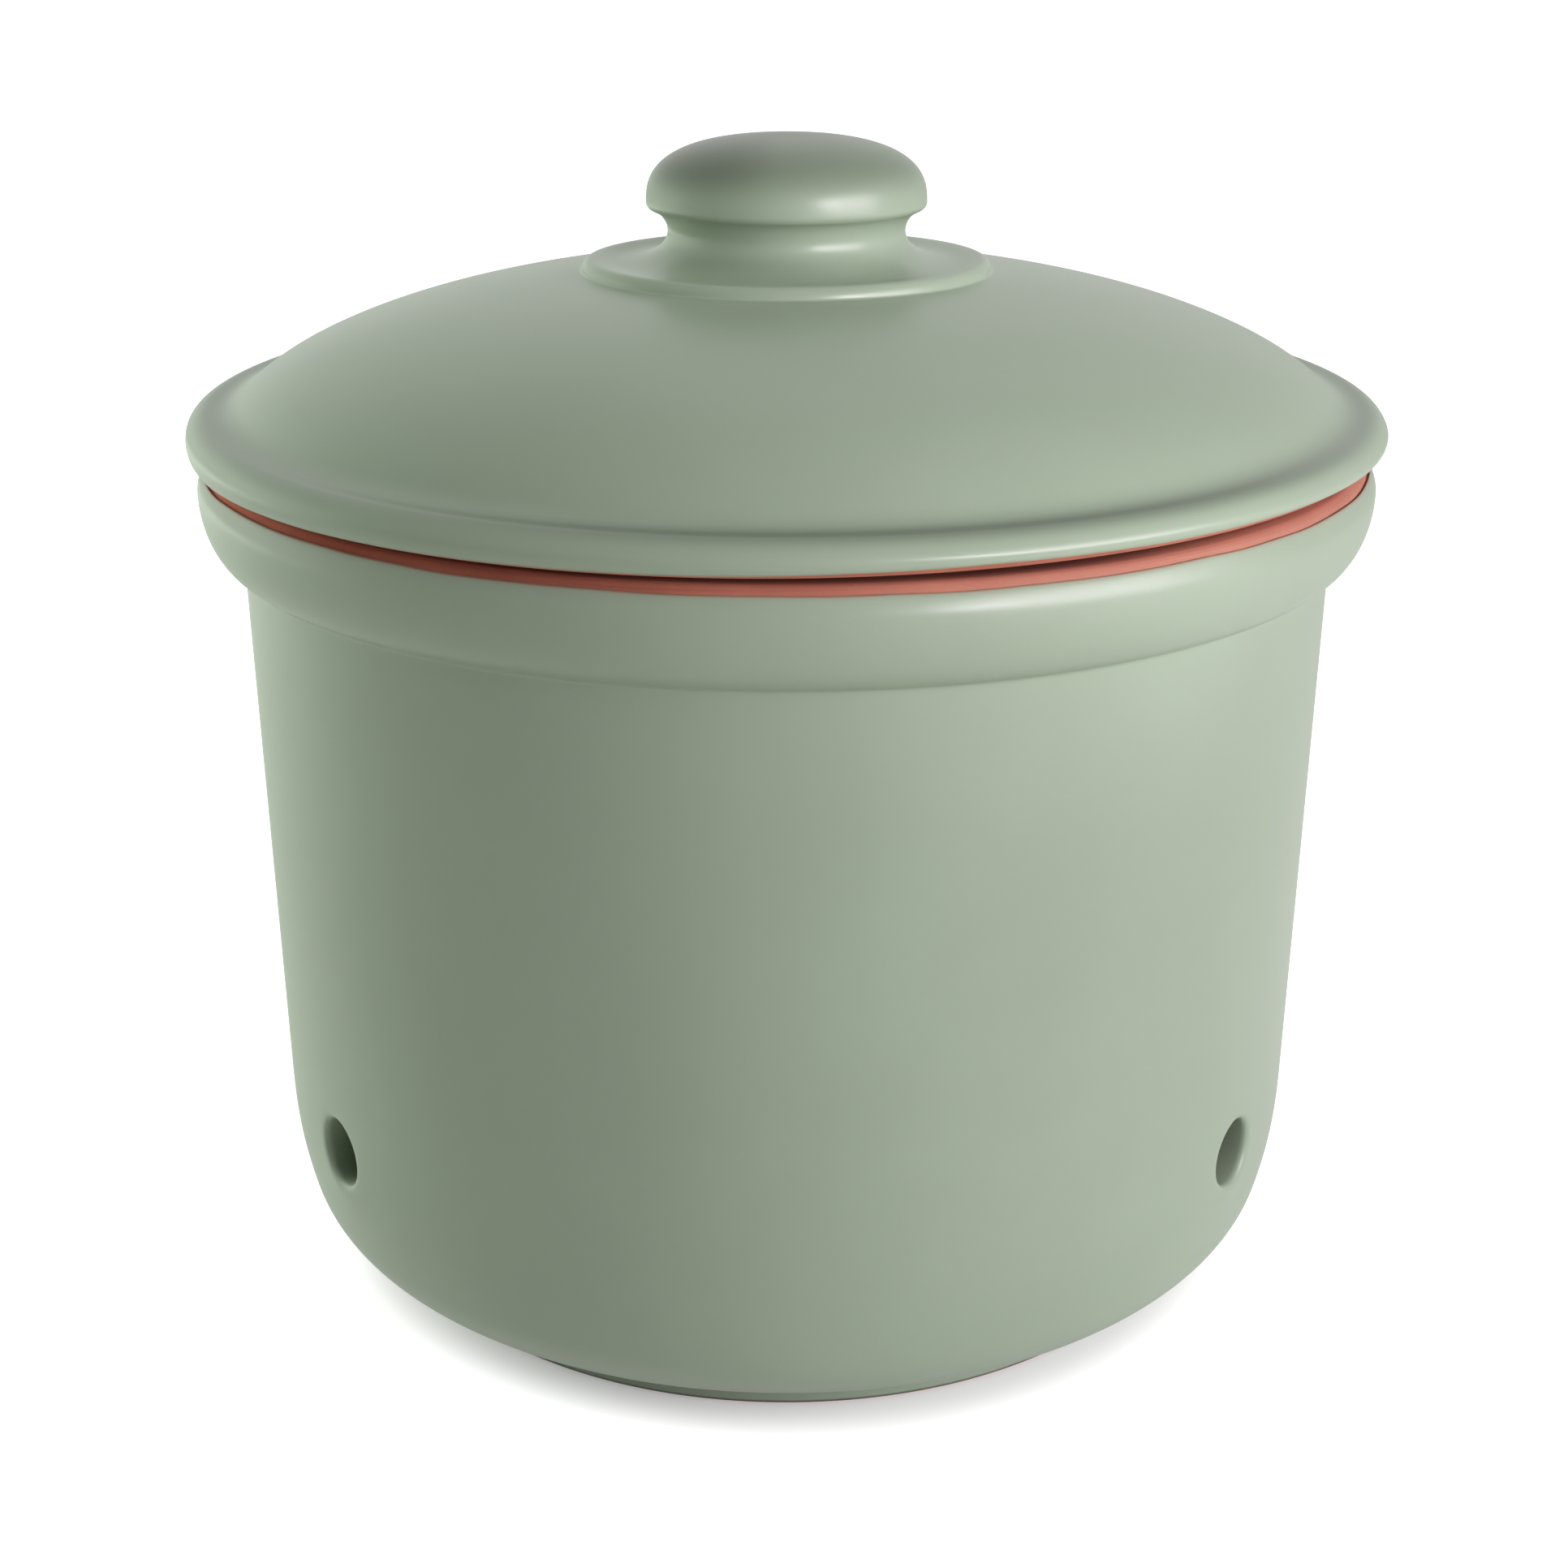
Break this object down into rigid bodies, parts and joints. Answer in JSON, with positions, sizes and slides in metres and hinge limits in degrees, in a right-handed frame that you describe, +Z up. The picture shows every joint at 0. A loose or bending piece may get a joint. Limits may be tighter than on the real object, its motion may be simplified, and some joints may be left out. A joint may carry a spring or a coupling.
{
  "type": "storage crock",
  "caption": "Round lidded terracotta storage crock with a satin coat, a rolled collar, air vents low in the wall and a domed lid with a knob.",
  "frame": {"origin": "on the table, in the middle of the foot ring", "axes": "+Z up along the turning axis, -Y towards the front, which lies between two of the vents"},
  "size_m": [0.215, 0.215, 0.2102],
  "materials": {
    "clay": "bare fired terracotta, fine and matt",
    "coat": "satin sage-green coat"
  },
  "bodies": {
    "crock": {"crock_body": "clay", "crock_glaze": "coat"},
    "lid": {"lid_body": "clay", "lid_knob": "clay", "lid_glaze": "coat"}
  },
  "joints": [
    {"name": "lid_lift", "type": "slide", "parent": "crock", "child": "lid", "axis": [0, 0, 1], "range_m": [0, 0.16]}
  ]
}
